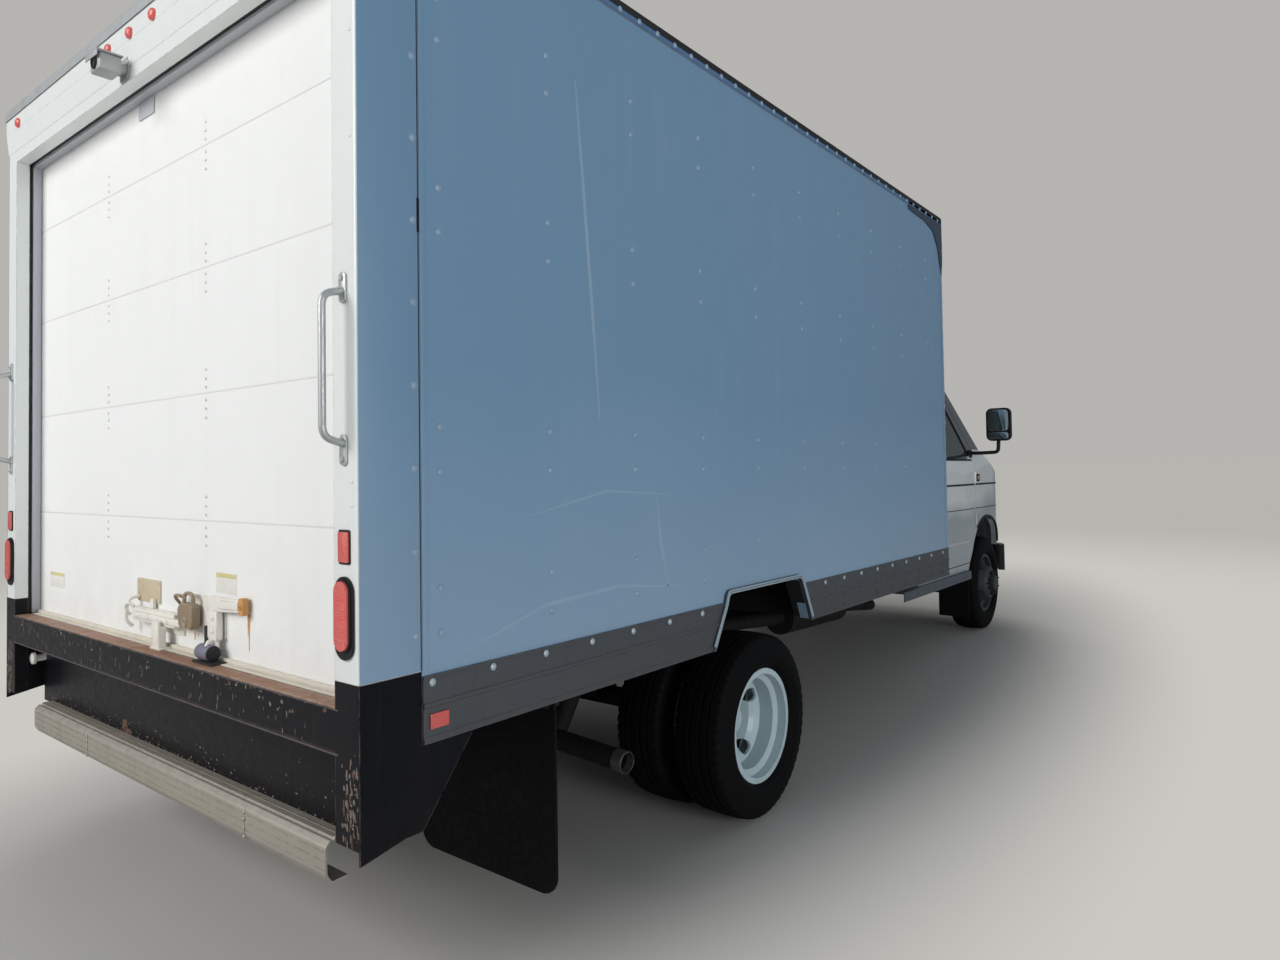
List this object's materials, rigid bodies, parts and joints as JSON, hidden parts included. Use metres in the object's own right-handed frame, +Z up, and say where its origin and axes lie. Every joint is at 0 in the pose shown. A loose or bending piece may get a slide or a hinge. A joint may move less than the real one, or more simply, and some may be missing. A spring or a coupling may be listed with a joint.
{
  "type": "box truck with van cab and roll-up rear door",
  "caption": "Box truck: a dry-freight box with a roll-up rear door, step bumper and twin rear wheels on a van chassis with a cutaway cab.",
  "frame": {"origin": "on the ground under the middle of the truck's length and width", "axes": "+X forward, +Y to the left, +Z up; the body leans nose down by 1.5 degrees, as it stands empty"},
  "size_m": [6.7628, 2.58, 2.9363],
  "materials": {
    "chassis_black": "satin black frame paint, dusty",
    "engine_iron": "dull cast metal",
    "exhaust_steel": "dull heat-stained steel",
    "wheel_white": "white wheel paint, brake dust",
    "tyre": "dusty black rubber",
    "galvanised": "weathered galvanised steel",
    "deck_wood": "worn hardwood",
    "box_skin": "gloss white pre-painted sheet",
    "roof_skin": "white sheet, dusty",
    "aluminium": "mill-finish aluminium extrusion, weathered",
    "black_steel": "black paint, chipped to rust",
    "door_white": "white door panels, light dirt",
    "latch_steel": "zinc-plated steel with rust",
    "red_lens": "red lens",
    "amber_lens": "amber lens",
    "clear_lens": "clear lamp lens",
    "dark_plastic": "black moulded plastic",
    "rubber": "black rubber sheet",
    "cab_white": "gloss white car paint",
    "glass": "tinted window glass",
    "seat_fabric": "grey woven cloth"
  },
  "bodies": {
    "truck": {"amber_lamps": "amber_lens", "body_rails": "aluminium", "box_floor": "deck_wood", "box_sills": "galvanised", "box_walls": "box_skin", "cab_body": "cab_white", "cab_floor": "cab_white", "dash": "dark_plastic", "door_latch": "latch_steel", "exhaust": "exhaust_steel", "frame_rails": "chassis_black", "front_axle": "chassis_black", "front_bumper": "dark_plastic", "front_wall": "box_skin", "fuel_tank": "chassis_black", "grab_handles": "galvanised", "grille": "dark_plastic", "headlamps": "clear_lens", "mudflaps": "rubber", "powertrain": "engine_iron", "rear_axle": "chassis_black", "rear_fittings": "dark_plastic", "rear_frame": "box_skin", "rear_sill": "black_steel", "rear_skirt": "black_steel", "red_lamps": "red_lens", "rollup_door": "door_white", "roof": "roof_skin", "running_boards": "black_steel", "seats": "seat_fabric", "side_trims": "aluminium", "step_bumper": "galvanised", "windshield": "glass"},
    "left_knuckle": {"left_knuckle": "engine_iron"},
    "right_knuckle": {"right_knuckle": "engine_iron"},
    "front_left_wheel": {"front_left_rim": "wheel_white", "front_left_tyre": "tyre"},
    "front_right_wheel": {"front_right_rim": "wheel_white", "front_right_tyre": "tyre"},
    "rear_left_wheels": {"rear_left_rims": "wheel_white", "rear_left_tyres": "tyre"},
    "rear_right_wheels": {"rear_right_rims": "wheel_white", "rear_right_tyres": "tyre"},
    "left_door": {"left_door": "cab_white", "left_glass": "glass", "left_mirror": "dark_plastic"},
    "right_door": {"right_door": "cab_white", "right_glass": "glass", "right_mirror": "dark_plastic"},
    "hood": {"hood": "cab_white"}
  },
  "joints": [
    {"name": "left_steer", "type": "hinge", "parent": "truck", "child": "left_knuckle", "pos_m": [2.53462, 0.8005, 0.355], "axis": [0.0262, 0, 0.9997], "range_deg": [-35, 35]},
    {"name": "right_steer", "type": "hinge", "parent": "truck", "child": "right_knuckle", "pos_m": [2.53462, -0.8005, 0.355], "axis": [0.0262, 0, 0.9997], "range_deg": [-35, 35]},
    {"name": "front_left_wheel_spin", "type": "hinge", "parent": "left_knuckle", "child": "front_left_wheel", "pos_m": [2.53462, 0.8815, 0.355], "axis": [0, 1, 0], "continuous": true},
    {"name": "front_right_wheel_spin", "type": "hinge", "parent": "right_knuckle", "child": "front_right_wheel", "pos_m": [2.53462, -0.8815, 0.355], "axis": [0, 1, 0], "continuous": true},
    {"name": "rear_left_wheels_spin", "type": "hinge", "parent": "truck", "child": "rear_left_wheels", "pos_m": [-1.47838, 0.996, 0.355], "axis": [0, 1, 0], "continuous": true},
    {"name": "rear_right_wheels_spin", "type": "hinge", "parent": "truck", "child": "rear_right_wheels", "pos_m": [-1.47838, -0.996, 0.355], "axis": [0, 1, 0], "continuous": true},
    {"name": "left_door_hinge", "type": "hinge", "parent": "truck", "child": "left_door", "pos_m": [2.25485, 0.999, 1.0025], "axis": [-0.0262, 0, -0.9997], "range_deg": [0, 65]},
    {"name": "right_door_hinge", "type": "hinge", "parent": "truck", "child": "right_door", "pos_m": [2.25485, -0.999, 1.0025], "axis": [0.0262, 0, 0.9997], "range_deg": [0, 65]},
    {"name": "hood_hinge", "type": "hinge", "parent": "truck", "child": "hood", "pos_m": [2.53316, 0, 1.35463], "axis": [0, -1, 0], "range_deg": [0, 55]}
  ],
  "couplings": [
    {"joint": "right_steer", "follows": "left_steer", "ratio": 1}
  ]
}
